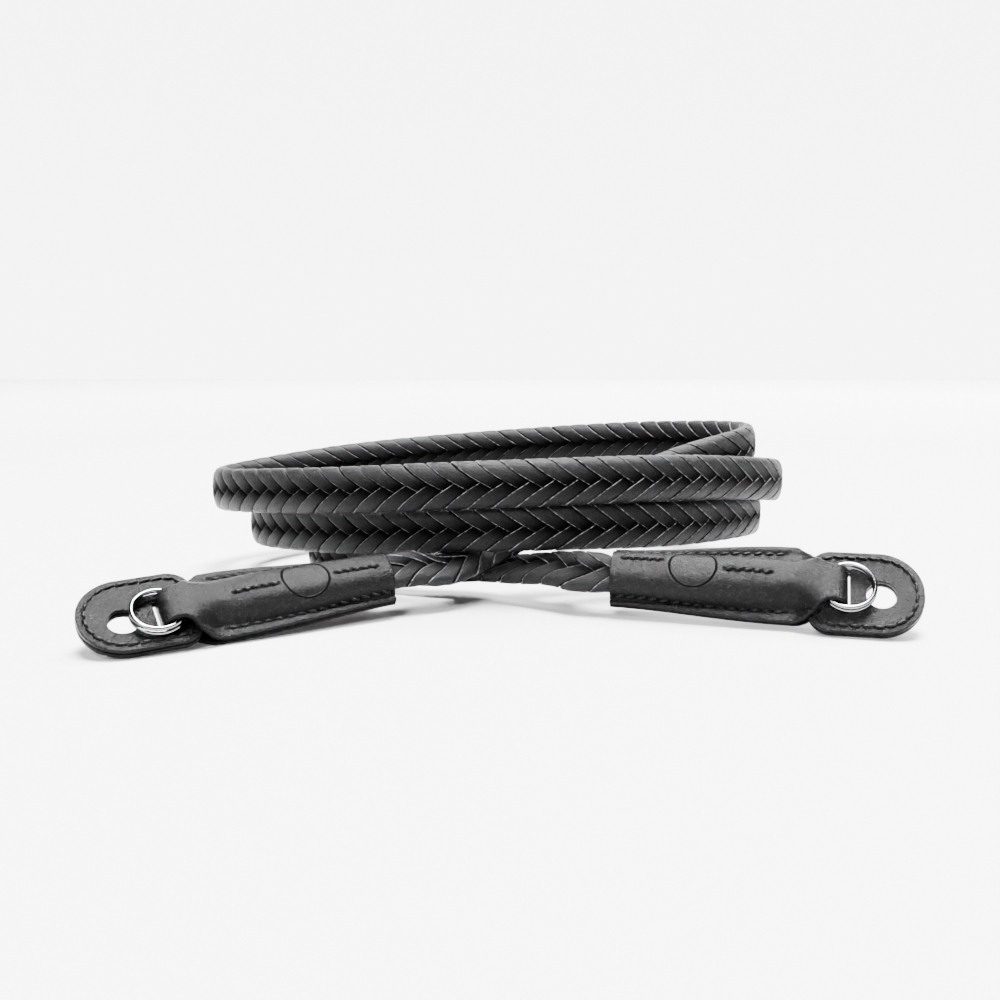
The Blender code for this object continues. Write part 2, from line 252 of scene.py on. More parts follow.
RING_PLACE = FOLD_START + FOLD_RADIUS + 0.5 * LEATHER + RING_SLACK
FOLD_REACH = math.sqrt(FOLD_RADIUS**2 - (FOLD_CENTRE - FLAP_BACK_FACE) ** 2)
SLOT_START = FOLD_START + FOLD_REACH - 1.5 * CLEARANCE
SLOT_END = FOLD_START + FOLD_RADIUS + LEATHER + SLOT_SLIVER
LUG_HOLE_PLACE = SLOT_END + LUG_HOLE_WALL + LUG_HOLE_DIAMETER / 2
FLAP_START = SLOT_START - FLAP_INNER_OVERLAP
FLAP_END = LUG_HOLE_PLACE + LUG_HOLE_DIAMETER / 2 + FLAP_RIM

# How the sleeve widens to its shoulder and narrows to its tongue, as shares of each stretch
WIDENING = (0.0, 0.97)
WIDENING_POWER = 0.9
NARROWING = (0.04, 1.06)
# Where the tongue has come down to its place beside the flap's middle
DROP_STOP = FOLD_START - 0.0004
# How the front panel sinks and rises towards the shoulder, and its small dimple there
SINK = 0.14
SINK_PLACES = (0.029, 0.037)
RISE_PLACES = (SLEEVE_LENGTH - 0.0012, FOLD_START - 0.0002)
UPPER_DELAY = 0.0026
UPPER_DELAY_HALF = 0.0075
DIMPLE_DEPTH = 0.0008
DIMPLE_PLACE = (0.0382, -0.0043)
DIMPLE_SIZE = (0.0028, 0.0018)
UPPER_CORNER = 0.0007
UPPER_CORNER_RISE = (0.008, 0.036)
UPPER_CORNER_FALL = (SLEEVE_LENGTH, 0.0450)

# Each light's place, size in metres and power in watts
LIGHTS = {
    "top_light": ((0.12, -0.05, 2.00), (1.00, 0.70), 580.0),
    "rear_light": ((0.60, 0.95, 1.65), (1.00, 0.70), 180.0),
    "front_light": ((-0.60, -1.50, 1.50), (0.60, 0.50), 110.0),
}
LIGHT_TARGET = (0, 0.02, 0.015)
SKY_STRENGTH = 7.0
FLOOR_CORNERS = [(-2.4, -2.4, 0), (2.4, -2.4, 0), (2.4, 1.3, 0), (-2.4, 1.3, 0)]
CAMERA_LENS = 39.53
CAMERA_BACK = 0.2945
CAMERA_HEIGHT = 0.0624
CAMERA_DIP = 8.546

pieces = bpy.data.collections.new("dressing")
bpy.context.scene.collection.children.link(pieces)


def smooth_rows(rows, steps):
    """Rows of numbers joined by smooth cubic stretches, each in as many points as steps says."""
    rows = np.array(rows, float)
    along = np.concatenate([[0.0], np.cumsum(np.linalg.norm(np.diff(rows[:, :3], axis=0), axis=1))])
    slopes = np.diff(rows, axis=0) / np.diff(along)[:, None]
    weights = (np.diff(along)[1:] / (along[2:] - along[:-2]))[:, None]
    middle = slopes[:-1] * weights + slopes[1:] * (1 - weights)
    tangents = np.vstack([slopes[:1], middle, slopes[-1:]])
    points = []
    for index, gap in enumerate(np.diff(along)):
        here, there = rows[index], rows[index + 1]
        leave, arrive = gap * tangents[index], gap * tangents[index + 1]
        for share in np.linspace(0, 1, steps, endpoint=False):
            blend = share * share * (3 - 2 * share)
            rise = share * (1 - share) ** 2
            fall = share * share * (1 - share)
            points.append(here + (there - here) * blend + leave * rise - arrive * fall)
    points.append(rows[-1])
    return np.array(points)


def even_points(rows, step):
    """Points along a smooth line, about one step apart."""
    gaps = np.linalg.norm(np.diff(rows[:, :3], axis=0), axis=1)
    along = np.concatenate([[0.0], np.cumsum(gaps)])
    places = np.linspace(0, along[-1], int(round(along[-1] / step)) + 1)
    return np.array([[np.interp(place, along, column) for column in rows.T] for place in places])


def tab_matrix(tab):
    """A tab's frame: x runs from the mouth to the flap, y up the leaning tab, z out of its face."""
    side = tab["side"]
    turn = math.radians(tab["turn"])
    lean = math.radians(tab["lean"])
    dip = math.radians(tab["dip"])
    flat = math.cos(dip)
    along = Vector((side * math.cos(turn) * flat, -math.sin(turn) * flat, -math.sin(dip)))
    level = Vector((side * math.sin(turn), math.cos(turn), 0.0))
    upright = Vector(along.cross(level) * side).normalized()
    across = level * math.cos(lean) + upright * math.sin(lean)
    face = upright * math.cos(lean) - level * math.sin(lean)
    hang = FLAP_WIDTH * (0.5 + tab["flap_drop"])
    low = along.z * LUG_HOLE_PLACE - across.z * hang + face.z * FLAP_BACK_FACE
    place = Vector((tab["across"] * COIL_LENGTH / 2, tab["front"] * COIL_DEPTH / 2, FLOOR_GAP - low))
    place += Vector(COIL_MIDDLE)
    matrix = Matrix([along.to_4d(), across.to_4d(), face.to_4d(), place.to_4d()]).transposed()
    matrix[3] = (0.0, 0.0, 0.0, 1.0)
    return matrix


def end_rows(tab, places):
    """Points of the route on a tab's own line."""
    matrix = tab_matrix(tab)
    rows = []
    for place in places:
        point = matrix @ Vector((place, 0.0, BRAID_END_HEIGHT))
        share = BRAID_END_SHARE if place >= 0 else BRAID_TAIL_SHARE
        rows.append([*point, 90.0 - tab["lean"], share])
    return rows


def route_rows(table, share):
    """Points of the route from a table."""
    rows = []
    for angle, reach, level, lean in table:
        turn = math.radians(angle)
        across = reach * COIL_LENGTH / 2 * math.cos(turn) + COIL_MIDDLE[0]
        depth = reach * COIL_DEPTH / 2 * math.sin(turn) + COIL_MIDDLE[1]
        rows.append([across, depth, level * BRAID_WIDTH, lean, share])
    return rows


def braid_frames():
    """Places along the braid, with its centre, its upright and outward directions and its size share."""
    places = [BRAID_INSERT, BRAID_INSERT / 2, 0.0, -BRAID_END_TAPER]
    rows = end_rows(TABS["left"], places) + route_rows(LEFT_TAIL, BRAID_TAIL_SHARE)
    rows += route_rows(TURNS, 1.0) + route_rows(RIGHT_TAIL, BRAID_TAIL_SHARE)
    rows += end_rows(TABS["right"], places[::-1])
    rows = even_points(smooth_rows(rows, ROUTE_STEPS), ROUTE_STEP)
    centre = rows[:, :3]
    tangent = np.gradient(centre, axis=0)
    tangent /= np.linalg.norm(tangent, axis=1)[:, None]
    side = np.cross((0.0, 0.0, 1.0), tangent)
    side /= np.linalg.norm(side, axis=1)[:, None]
    rise = np.cross(tangent, side)
    lean = np.radians(rows[:, 3])[:, None]
    tall = rise * np.cos(lean) + side * np.sin(lean)
    out = rise * np.sin(lean) - side * np.cos(lean)
    step = np.linalg.norm(np.diff(centre, axis=0), axis=1)
    along = np.concatenate([[0.0], np.cumsum(step)])
    return along, np.hstack([centre, tall, out, rows[:, 4:5]])


def half_section(width, thickness):
    """Distances, places and normals over the braid's edge, from its back middle to its front middle."""
    angle = np.linspace(math.pi, 0, 181)
    power = 2 / BRAID_ROUNDNESS
    out = np.sign(np.cos(angle)) * np.abs(np.cos(angle)) ** power * thickness / 2
    tall = np.abs(np.sin(angle)) ** power * width / 2
    distance = np.concatenate([[0.0], np.cumsum(np.hypot(np.diff(out), np.diff(tall)))])
    along_out = np.gradient(out, distance)
    along_tall = np.gradient(tall, distance)
    length = np.hypot(along_out, along_tall)
    return distance, np.array([out, tall, -along_tall / length, along_out / length])


def dressed(name, mesh, material):
    """A smooth piece of the strap made of a mesh."""
    mesh.shade_smooth()
    mesh.materials.clear()
    mesh.materials.append(material)
    piece = bpy.data.objects.new(name, mesh)
    pieces.objects.link(piece)
    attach(piece, "root")
    return piece


def new_piece(name, verts, faces, material):
    """A piece made of points and faces."""
    mesh = bpy.data.meshes.new(name)
    mesh.from_pydata([tuple(vert) for vert in verts], [], faces)
    mesh.validate()
    return dressed(name, mesh, material)


def grid_faces(rows, columns, start, flip, closed=False):
    """Quads of a grid of vertices, row by row."""
    faces = []
    span = columns if closed else columns - 1
    for row in range(rows - 1):
        for column in range(span):
            after = (column + 1) % columns
            a = start + row * columns + column
            b = start + row * columns + after
            c = b + columns
            d = a + columns
            faces.append((a, d, c, b) if flip else (a, b, c, d))
    return faces


def carry(piece, name, values):
    """Puts a mark on each point of a piece, for its material."""
    piece.data.attributes.new(name, "FLOAT", "POINT").data.foreach_set("value", values)


def strand_spots(middle, edge, route, edge_line):
    """Points of one strand, row by row from where it comes up at the back to where it dives in front."""
    along, frames = route
    distance, section = edge_line
    steps = STRAND_STEPS[:, None]
    half = distance[-1] / 2
    reach = STRAND_PITCH * STRAND_SLANT
    slope = reach * STRAND_CURVE / half
    place = steps * distance[-1] - STRAND_ACROSS * STRAND_PITCH / (2 * slope)
    share = (place - half) / half
    far = np.abs(share)
    bend = np.sign(share) * np.where(far < 1, far**STRAND_CURVE, 1 + STRAND_CURVE * (far - 1))
    station = middle + reach * bend + STRAND_ACROSS * STRAND_PITCH
    past = np.maximum(steps - 1, -steps) * distance[-1]
    sink = np.clip((past + PLUNGE_LENGTH / 2) / PLUNGE_LENGTH, 0, 1)
    lift = STRAND_HEIGHT - STRAND_PLUNGE * sink * sink * (3 - 2 * sink)
    out, tall, out_normal, tall_normal = (np.interp(place, distance, line) for line in section)
    tall = np.where(place < 0, place, tall)
    tall = np.where(place > distance[-1], distance[-1] - place, tall)
    local = [np.interp(station, along, column) for column in frames.T]
    centre = np.stack(local[0:3], -1)
    tall_way = np.stack(local[3:6], -1)
    out_way = np.stack(local[6:9], -1)
    size = local[9][..., None]
    spots = centre + tall_way * (edge * (tall + lift * tall_normal))[..., None] * size
    spots += out_way * (out + lift * out_normal)[..., None] * size
    return spots.reshape(-1, 3)


def build_strands(route, material):
    """Every laid strand: each comes up at the back, goes over one edge and dives at the front middle."""
    edge_line = half_section(BRAID_WIDTH, BRAID_THICKNESS)
    first = BRAID_INSERT - STRANDS_HIDDEN + STRAND_PITCH * STRAND_SLANT
    count = int((route[0][-1] - 2 * first) / STRAND_PITCH)
    painted_dive_shade = np.clip(DIVE_SHADE - np.minimum(STRAND_STEPS, 1 - STRAND_STEPS) * DIVE_FALL, 0, 1) ** 1.5
    rows, columns = len(STRAND_STEPS), len(STRAND_ACROSS)
    verts, faces, coords, painted_highlight, shade = [], [], [], [], []
    for edge, offset in ((1, 0.0), (-1, 0.5)):
        for number in range(count):
            wander = STRAND_WANDER[0] * math.sin(number * 2.4 + edge)
            wander += STRAND_WANDER[1] * math.sin(number * 5.1)
            middle = first + (number + offset) * STRAND_PITCH + wander
            faces += grid_faces(rows, columns, len(verts), edge < 0)
            verts += list(strand_spots(middle, edge, route, edge_line))
            apart = number * 0.37 + (0.19 if edge > 0 else 0.0)
            coords += [(u + apart, v * 2.4 + apart * 3.1) for v in STRAND_STEPS for u in STRAND_ACROSS]
            # a painted highlight along each strand's raised cut edge
            painted_highlight += STRAND_PAINTED_HIGHLIGHT * rows
            tone = TONE_SPREAD * abs(math.sin(number * 7.31 + 2 * edge))
            # Each strand's random tone, deepened by painted shade towards its dives
            shade += list(np.repeat(tone + (1 - tone) * painted_dive_shade, columns))
    strands = new_piece("braid_strands", verts, faces, material)
    layer = strands.data.uv_layers.new(name="strand")
    for loop in strands.data.loops:
        layer.data[loop.index].uv = coords[loop.vertex_index]
    carry(strands, "painted_highlight", painted_highlight)
    carry(strands, "shade", shade)
    return strands


def build_core(frames, material):
    """The inside of the braid, seen only between the strands, kept black and dull as painted shade."""
    distance, section = half_section(BRAID_WIDTH - CORE_INSET, BRAID_THICKNESS - CORE_INSET)
    picks = np.linspace(0, distance[-1], 9)
    upper = [(np.interp(p, distance, section[0]), np.interp(p, distance, section[1])) for p in picks]
    ring = upper + [(out, -tall) for out, tall in upper[-2:0:-1]]
    verts = []
    rows = frames[::3]
    for row in rows:
        for out, tall in ring:
            verts.append(row[0:3] + (row[3:6] * tall + row[6:9] * out) * row[9])
    faces = grid_faces(len(rows), len(ring), 0, False, closed=True)
    last = (len(rows) - 1) * len(ring)
    faces.append(tuple(range(len(ring)))[::-1])
    faces.append(tuple(range(last, last + len(ring))))
    return new_piece("braid_core", verts, faces, material)


def ease(value, start, stop):
    """Rises smoothly from 0 at start to 1 at stop."""
    share = min(max((value - start) / (stop - start), 0.0), 1.0)
    return share * share * (3 - 2 * share)


def bump(value, width):
    """A smooth hump of height 1 at zero."""
    return math.exp(-((value / width) ** 2))


def sleeve_half(place):
    """Half the sleeve's width at a place along it."""
    if place <= SLEEVE_LENGTH:
        share = place / SLEEVE_LENGTH
        wide = ease(share, *WIDENING) ** WIDENING_POWER
        return (MOUTH_WIDTH + (SHOULDER_WIDTH - MOUTH_WIDTH) * wide) / 2
    share = (place - SLEEVE_LENGTH) / SHOULDER_LENGTH
    return (SHOULDER_WIDTH + (TONGUE_WIDTH - SHOULDER_WIDTH) * ease(share, *NARROWING)) / 2


def upper_corner(place):
    """How much further the upper shoulder stands out than the lower one."""
    return UPPER_CORNER * ease(place, *UPPER_CORNER_RISE) * (1 - ease(place, *UPPER_CORNER_FALL))


def dome(across):
    """Height of the front panel over its flat edges, where it covers the braid's end."""
    share = min(abs(across) / DOME_HALF, 1.0)
    return DOME_RISE * (1 - share**DOME_FULLNESS) ** DOME_FALL


DOME_STEPS = np.linspace(0.0, 0.010, 401)
DOME_ARC = np.cumsum(np.hypot(np.gradient(DOME_STEPS), np.gradient([dome(step) for step in DOME_STEPS])))


def over_dome(across):
    """How far a place lies from the middle, measured over the curved leather."""
    return math.copysign(np.interp(abs(across), DOME_STEPS, DOME_ARC), across)


def sleeve_height(place, across):
    """Height of the front panel's outer face, without its pressed marks."""
    sunk = 1 - SINK * ease(place, *SINK_PLACES)
    late = UPPER_DELAY * min(max(across, 0.0) / UPPER_DELAY_HALF, 1.0) ** 2
    rise = ease(place, RISE_PLACES[0] + late, RISE_PLACES[1])
    height = (1 - rise) * dome(across) * sunk + rise * (TONGUE_INNER + LEATHER - FLANGE_FACE)
    dimple = bump(place - DIMPLE_PLACE[0], DIMPLE_SIZE[0])
    dimple *= bump(across - DIMPLE_PLACE[1], DIMPLE_SIZE[1])
    return FLANGE_FACE + max(height - DIMPLE_DEPTH * dimple, 0.0)


def pressed_away(place, across, side):
    """How far a place lies outside the pressed ring's line, measured over the leather."""
    middle = PRESSED[side]
    return math.hypot(place - middle[0], over_dome(across) - over_dome(middle[1])) - PRESSED_RADIUS


def pressed_ring(place, across, side):
    """A mark for the material: 0.5 on the pressed ring's line, 0.1 more or less a millimetre from it."""
    return 0.5 + min(max(pressed_away(place, across, side) / 0.010, -0.4), 0.4)


def needle_holes(side):
    """Where the thread goes through the sleeve, in the seams and in the short rows."""
    holes = []
    for place in SEAM_PLACES:
        holes += [(place, seam(place), SEAM_HOLE) for seam in (lower_seam, upper_seam)]
    for start, stop, row_across in ROWS[side]:
        holes += [(place, row_across, ROW_HOLE) for place in np.linspace(start, stop, ROW_STITCHES + 1)]
    return np.array(holes)


def shade_at(place, across, side):
    """How much painted shade a place gets from the groove and the needle holes that it lies in."""
    holes = HOLES[side]
    away = np.hypot(holes[:, 0] - place, holes[:, 1] - across) / holes[:, 2]
    groove = 0.0
    if place < GROOVE_STOP:
        groove = GROOVE_SHADE * bump(abs(across) - seam_line(place, across), GROOVE_SHADE_WIDTH)
    return max(float(np.exp(-np.min(away) ** 4)), groove)


def relief(place, across, side):
    """How far the front panel's outer face stands above its plain surface, after pressing and sewing."""
    depth = -GROOVE_DEPTH * bump(abs(across) - seam_line(place, across), GROOVE_WIDTH)
    away = pressed_away(place, across, side)
    depth -= PRESSED_LINE_DEPTH * bump(away, PRESSED_LINE_WIDTH)
    depth += PRESSED_LIP * bump(away - PRESSED_LIP_PLACE, PRESSED_LINE_WIDTH)
    depth -= PRESSED_DISC_DEPTH * (1 - ease(away, -PRESSED_DISC_EDGE, 0.0))
    for start, stop, row_across in ROWS[side]:
        begun = ease(place, start - ROW_GROOVE_END, start)
        ended = ease(place, stop, stop + ROW_GROOVE_END)
        depth -= ROW_GROOVE_DEPTH * bump(across - row_across, ROW_GROOVE_WIDTH) * begun * (1 - ended)
    wave = math.sin(place * 900 + across * 410) * math.sin(across * 620 - place * 230 + 1.0)
    return depth + UNEVENNESS * wave


def seam_line(place, across):
    """How far the seam on one side lies from the middle of the sleeve."""
    shoulder = SEAM_INSETS[1] if across > 0 else SEAM_INSETS[2]
    inset = SEAM_INSETS[0] + (shoulder - SEAM_INSETS[0]) * place / SLEEVE_LENGTH
    return sleeve_half(min(place, SLEEVE_LENGTH)) - inset


def lower_seam(place):
    """Where the lower seam runs across the sleeve."""
    return -seam_line(place, -1)


def upper_seam(place):
    """Where the upper seam runs across the sleeve."""
    return seam_line(place, 1)


HOLES = {side: needle_holes(side) for side in TABS}


def fuller(place, share):
    """How much further out a point of the sheet lies for the upper shoulder's corner."""
    return upper_corner(place) * max(share, 0.0) ** 4


def sleeve_sheet(side):
    """The folded leather's outer face in rows: along the front, round the ring, along the back.

    Each point has its place along and across the tab, its height, and how far across the edge lies.
    """
    front = list(np.arange(0.0, FOLD_START, FRONT_STEP)) + [FOLD_START]
    back = list(np.arange(0.0, FOLD_START, BACK_STEP)) + [FOLD_START]
    spread = np.sin(np.linspace(-1, 1, SHEET_COLUMNS) * SHEET_CROWDING) / math.sin(SHEET_CROWDING)
    outer_fold = FOLD_RADIUS + LEATHER
    rows = []
    marks = []
    for place in front:
        half = sleeve_half(place)
        row = []
        for share in spread:
            across = share * half
            extra = fuller(place, share)
            height = sleeve_height(place, across) + relief(place, across, side)
            row.append((place, across + extra, height, half + extra))
            marks.append((pressed_ring(place, across, side), shade_at(place, across, side)))
        rows.append(row)
    for step in range(1, FOLD_STEPS):
        angle = math.pi * (0.5 - step / FOLD_STEPS)
        place = FOLD_START + outer_fold * math.cos(angle) ** FOLD_POWER
        height = FOLD_CENTRE + outer_fold * math.copysign(abs(math.sin(angle)) ** FOLD_POWER, angle)
        rows.append([(place, share * TONGUE_WIDTH / 2, height, TONGUE_WIDTH / 2) for share in spread])
    for place in reversed(back):
        half = sleeve_half(place)
        row = []
        for share in spread:
            extra = fuller(place, share)
            row.append((place, share * half + extra, 0.0, half + extra))
        rows.append(row)
    marks += [(0.0, 0.0)] * ((len(rows) - len(front)) * len(spread))
    return np.array(rows), np.array(marks).reshape(len(rows), len(spread), 2)


def build_sleeve(side, tab, material):
    """The folded leather with its thickness, rounded edges and pressed marks."""
    rows, marks = sleeve_sheet(side)
    outer = rows[:, :, :3].copy()
    drop = tab["loop_drop"] * FLAP_WIDTH
    for row in outer:
        row[:, 1] -= [drop * ease(place, SLEEVE_LENGTH, DROP_STOP) for place in row[:, 0]]
    normal = np.cross(np.gradient(outer, axis=0), np.gradient(outer, axis=1))
    normal /= np.linalg.norm(normal, axis=2)[:, :, None]
    if normal[1, SHEET_COLUMNS // 2, 2] < 0:
        normal = -normal
    edge = np.minimum(rows[:, :, 3] - np.abs(rows[:, :, 1]), EDGE_ROUND) / EDGE_ROUND
    inner = outer - normal * LEATHER
    outer -= normal * (EDGE_SINK * (1 - np.sqrt(1 - (1 - edge) ** 2)))[:, :, None]
    width = outer.shape[1]
    verts, press, shade = [], [], []
    for outside, inside, carried in zip(outer, inner, marks):
        verts += list(outside)
        verts.append(outside[-1] * EDGE_MIDDLE + inside[-1] * (1 - EDGE_MIDDLE))
        verts += list(inside[::-1])
        verts.append(outside[0] * EDGE_MIDDLE + inside[0] * (1 - EDGE_MIDDLE))
        press += list(carried[:, 0]) + [0.0] * (width + 2)
        # Painted shade: grooves and needle holes on the outer face, then the cut edges and the whole
        # inner face
        shade += list(carried[:, 1]) + [EDGE_SHADE] + [INSIDE_SHADE] * width + [EDGE_SHADE]
    columns = 2 * width + 2
    matrix = np.array(tab_matrix(tab))
    verts = np.array(verts) @ matrix[:3, :3].T + matrix[:3, 3]
    flip = tab["side"] < 0
    faces = grid_faces(len(rows), columns, 0, flip, closed=True)
    for start, turn in ((0, flip), ((len(rows) - 1) * columns, not flip)):
        for column in range(width - 1):
            quad = (column, column + 1, 2 * width - column - 1, 2 * width - column)
            quad = tuple(start + corner for corner in quad)
            faces.append(quad if turn else quad[::-1])
    sleeve = new_piece(f"leather_sleeve_{side}", verts, faces, material)
    carry(sleeve, "press", press)
    carry(sleeve, "shade", shade)
    return sleeve


def arc(centre, radius, start, stop, steps):
    """Points on an arc, angles in degrees."""
    angles = [math.radians(start + (stop - start) * step / steps) for step in range(steps + 1)]
    return [(centre[0] + radius * math.cos(a), centre[1] + radius * math.sin(a)) for a in angles]


def flap_outline(inset):
    """The flap's edge, or a line inside it."""
    half = FLAP_WIDTH / 2 - inset
    end_round = FLAP_END_ROUND - inset
    inner_round = FLAP_INNER_ROUND - inset
    outer = FLAP_END - FLAP_END_ROUND
    inner = FLAP_START + FLAP_INNER_ROUND
    points = arc((outer, half - end_round), end_round, 0, 90, ARC_STEPS)
    points += arc((inner, half - inner_round), inner_round, 90, 180, ARC_STEPS)
    points += arc((inner, inner_round - half), inner_round, 180, 270, ARC_STEPS)
    points += arc((outer, end_round - half), end_round, 270, 360, ARC_STEPS)
    return points


def shifted(points, drop):
    """Points moved towards the lower edge of a tab, by a share of the flap's width."""
    return [(along, across - drop * FLAP_WIDTH) for along, across in points]


def settled(name, curve, matrix, material):
    """A piece made of a curve and placed on the strap."""
    guide = bpy.data.objects.new(name + "_guide", curve)
    mesh = bpy.data.meshes.new_from_object(guide)
    bpy.data.objects.remove(guide)
    mesh.transform(matrix)
    return dressed(name, mesh, material)


def build_flap_layer(name, tab, height, material):
    """One leather layer of the flap with softened edges."""
    curve = bpy.data.curves.new(name, "CURVE")
    curve.dimensions = "2D"
    curve.fill_mode = "BOTH"
    curve.extrude = FLAP_LAYER / 2 - FLAP_SOFT_EDGE
    curve.bevel_depth = FLAP_SOFT_EDGE
    curve.bevel_resolution = 3
    curve.offset = -FLAP_SOFT_EDGE
    half = TONGUE_WIDTH / 2 + CLEARANCE
    slot = [(SLOT_START, -half), (SLOT_START, half), (SLOT_END, half), (SLOT_END, -half)]
    last = 360 - 360 / LUG_HOLE_SIDES
    hole = arc((LUG_HOLE_PLACE, 0.0), LUG_HOLE_DIAMETER / 2, 0, last, LUG_HOLE_SIDES - 1)
    edge = shifted(flap_outline(0.0), tab["flap_drop"])
    for outline in (edge, shifted(hole, tab["hole_drop"]), shifted(slot, tab["loop_drop"])):
        spline = curve.splines.new("POLY")
        spline.points.add(len(outline) - 1)
        spline.use_cyclic_u = True
        for point, (along, across) in zip(spline.points, outline):
            point.co = (along, across, 0.0, 1.0)
    placed = tab_matrix(tab) @ Matrix.Translation((0.0, 0.0, height))
    return settled(name, curve, placed, material)


def build_ring(side, tab, material):
    """The split ring, finely rounded."""
    angles = np.linspace(0, RING_TURNING, RING_POINTS)
    curve = bpy.data.curves.new(f"ring_{side}", "CURVE")
    curve.dimensions = "3D"
    curve.bevel_depth = RING_WIRE / 2
    curve.bevel_resolution = 5
    curve.use_fill_caps = True
    spline = curve.splines.new("POLY")
    spline.points.add(len(angles) - 1)
    radius = (RING_DIAMETER - RING_WIRE) / 2
    for point, angle in zip(spline.points, angles):
        height = RING_LOW_TURN + RING_PITCH * ease(angle, *RING_STEP_UP)
        turn = math.radians(angle + RING_START_TURN)
        across = radius * math.sin(turn) - tab["loop_drop"] * FLAP_WIDTH
        point.co = (RING_PLACE + radius * math.cos(turn), across, height, 1.0)
    return settled(f"ring_{side}", curve, tab_matrix(tab), material)


def stitch(start, stop, normal, radius, verts, faces):
    """One stitch: a short plump twist of thread whose ends go down into the leather."""
    start, stop, normal = Vector(start), Vector(stop), Vector(normal).normalized()
    way = (stop - start).normalized()
    side = normal.cross(way).normalized()
    base = len(verts)
    for step in range(STITCH_STEPS + 1):
        share = step / STITCH_STEPS
        rise = math.sin(math.pi * share)
        lift = radius * (rise**0.5 - 0.55)
        plump = radius * (0.62 + 0.38 * rise**0.6)
        middle = start.lerp(stop, share) + normal * lift
        for turn in range(STITCH_SIDES):
            angle = 2 * math.pi * turn / STITCH_SIDES + share * 2.6
            grow = plump * (1 + 0.16 * math.cos(2 * (angle - share * 7.0)))
            verts.append(middle + side * math.cos(angle) * grow + normal * math.sin(angle) * grow)
    faces += grid_faces(STITCH_STEPS + 1, STITCH_SIDES, base, False, closed=True)
    faces.append(tuple(range(base, base + STITCH_SIDES))[::-1])
    last = base + STITCH_STEPS * STITCH_SIDES
    faces.append(tuple(range(last, last + STITCH_SIDES)))


def front_point(place, across):
    """A place on the front panel's outer face, with its normal, in the tab's frame."""
    def spot(x, y):
        return Vector((x, y, sleeve_height(x, y)))

    along_way = spot(place + SLOPE_STEP, across) - spot(place - SLOPE_STEP, across)
    across_way = spot(place, across + SLOPE_STEP) - spot(place, across - SLOPE_STEP)
    normal = along_way.cross(across_way).normalized()
    return spot(place, across) - normal * THREAD_SUNK, normal


def sewn(places, gap, slant, line, thread, verts, faces):
    """A row of slanted stitches on the sleeve, from place to place along a line across it."""
    for here, there in zip(places, places[1:]):
        space = (there - here) * gap
        low, low_normal = front_point(here + space, line(here + space) - slant)
        high, high_normal = front_point(there - space, line(there - space) + slant)
        stitch(low, high, low_normal + high_normal, thread, verts, faces)


def sew_border(tab, verts, faces):
    """The stitches round the flap's face."""
    line = flap_outline(BORDER_INSET)
    line = np.array(shifted(line + line[:1], tab["flap_drop"]))
    gaps = np.concatenate([[0.0], np.cumsum(np.linalg.norm(np.diff(line, axis=0), axis=1))])

    def on_line(reached):
        return np.array([np.interp(reached, gaps, line[:, column]) for column in (0, 1)])

    marks = np.linspace(0, gaps[-1], int(round(gaps[-1] / BORDER_PITCH)) + 1)
    for here, there in zip(marks, marks[1:]):
        ends = []
        for reached, slant in ((here, BORDER_SLANT), (there, -BORDER_SLANT)):
            way = on_line(reached + LINE_STEP) - on_line(reached - LINE_STEP)
            way /= max(np.linalg.norm(way), 1e-9)
            along, across = on_line(reached) + np.array((-way[1], way[0])) * slant
            ends.append((along, across, FLAP_FACE + BORDER_LIFT))
        stitch(ends[0], ends[1], (0, 0, 1), BORDER_THREAD, verts, faces)


def build_stitches(side, tab, material):
    """The seams and the two short rows on the sleeve, and the border of the flap."""
    verts, faces = [], []
    for seam in (lower_seam, upper_seam):
        sewn(SEAM_PLACES, SEAM_GAP, SEAM_SLANT, seam, SEAM_THREAD, verts, faces)
    for start, stop, row_across in ROWS[side]:
        places = np.linspace(start, stop, ROW_STITCHES + 1)
        sewn(places, ROW_GAP, ROW_SLANT, lambda place: row_across, ROW_THREAD, verts, faces)
    sew_border(tab, verts, faces)
    matrix = tab_matrix(tab)
    verts = [matrix @ Vector(vert) for vert in verts]
    if tab["side"] < 0:
        faces = [face[::-1] for face in faces]
    return new_piece(f"stitches_{side}", verts, faces, material)


def node(tree, kind, **inputs):
    """A shader node with its inputs set or linked."""
    made = tree.nodes.new(kind)
    for name, value in inputs.items():
        socket = made.inputs[name.replace("_", " ")]
        if isinstance(value, bpy.types.NodeSocket):
            tree.links.new(value, socket)
        else:
            socket.default_value = value
    return made


def ramp(tree, factor, stops):
    """A colour ramp over a factor."""
    made = tree.nodes.new("ShaderNodeValToRGB")
    tree.links.new(factor, made.inputs["Fac"])
    elements = made.color_ramp.elements
    while len(elements) < len(stops):
        elements.new(0.5)
    for element, (place, value) in zip(elements, stops):
        element.position = place
        element.color = (*value, 1.0) if isinstance(value, tuple) else (value, value, value, 1.0)
    return made.outputs["Color"]


def new_material(name):
    """A material, its tree and its shader."""
    material = bpy.data.materials.new(name)
    material.use_nodes = True
    tree = material.node_tree
    return material, tree, tree.nodes["Principled BSDF"]


def joined(tree, operation, first, second, third=None):
    """Two or three values joined by one math operation."""
    made = tree.nodes.new("ShaderNodeMath")
    made.operation = operation
    for socket, value in zip(made.inputs, (first, second, third)):
        if isinstance(value, bpy.types.NodeSocket):
            tree.links.new(value, socket)
        elif value is not None:
            socket.default_value = value
    return made.outputs[0]


def mixed(tree, share, first, second):
    """One colour turning into another; the second is a socket or a gray."""
    made = tree.nodes.new("ShaderNodeMixRGB")
    tree.links.new(share, made.inputs["Fac"])
    tree.links.new(first, made.inputs["Color1"])
    if isinstance(second, float):
        made.inputs["Color2"].default_value = (second, second, second, 1.0)
    else:
        tree.links.new(second, made.inputs["Color2"])
    return made.outputs["Color"]


